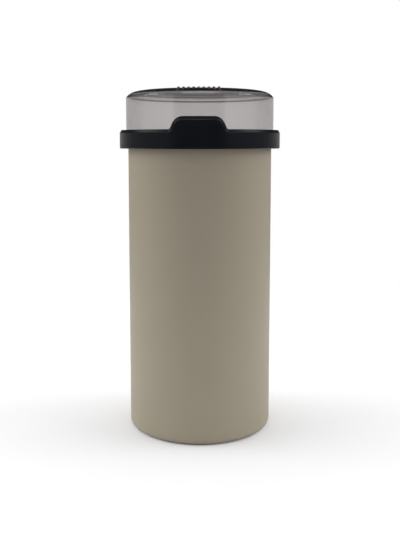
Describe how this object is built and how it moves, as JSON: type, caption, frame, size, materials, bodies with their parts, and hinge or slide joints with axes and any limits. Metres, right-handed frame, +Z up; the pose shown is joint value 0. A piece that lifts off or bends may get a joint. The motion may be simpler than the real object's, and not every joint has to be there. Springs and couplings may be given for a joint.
{
  "type": "rusk storage canister",
  "caption": "Tall round storage canister for rusks, with a push-on lid of a smoked clear dome in a dark collar with a thumb tab, and a lifter inside.",
  "frame": {"origin": "middle of the canister's foot, on the surface it stands on", "axes": "+Z up along the canister's axis, -Y towards the thumb tab, +X to the right of someone facing the tab"},
  "size_m": [0.1162, 0.1162, 0.2459],
  "materials": {
    "taupe_body": "matte moulded taupe",
    "smoked_dome": "polished smoked clear",
    "dark_collar": "satin blue-black",
    "soft_seal": "matte grey silicone",
    "lifter_plastic": "satin warm white"
  },
  "bodies": {
    "canister": {"canister_body": "taupe_body"},
    "lid": {"lid_dome": "smoked_dome", "lid_collar": "dark_collar", "lid_seal": "soft_seal"},
    "lifter": {"lifter_platform": "lifter_plastic", "lifter_stem": "lifter_plastic"}
  },
  "joints": [
    {"name": "lid_lift", "type": "slide", "parent": "canister", "child": "lid", "axis": [0, 0, 1], "range_m": [0, 0.05]},
    {"name": "lifter_lift", "type": "slide", "parent": "canister", "child": "lifter", "axis": [0, 0, 1], "range_m": [0, 0.034]}
  ]
}
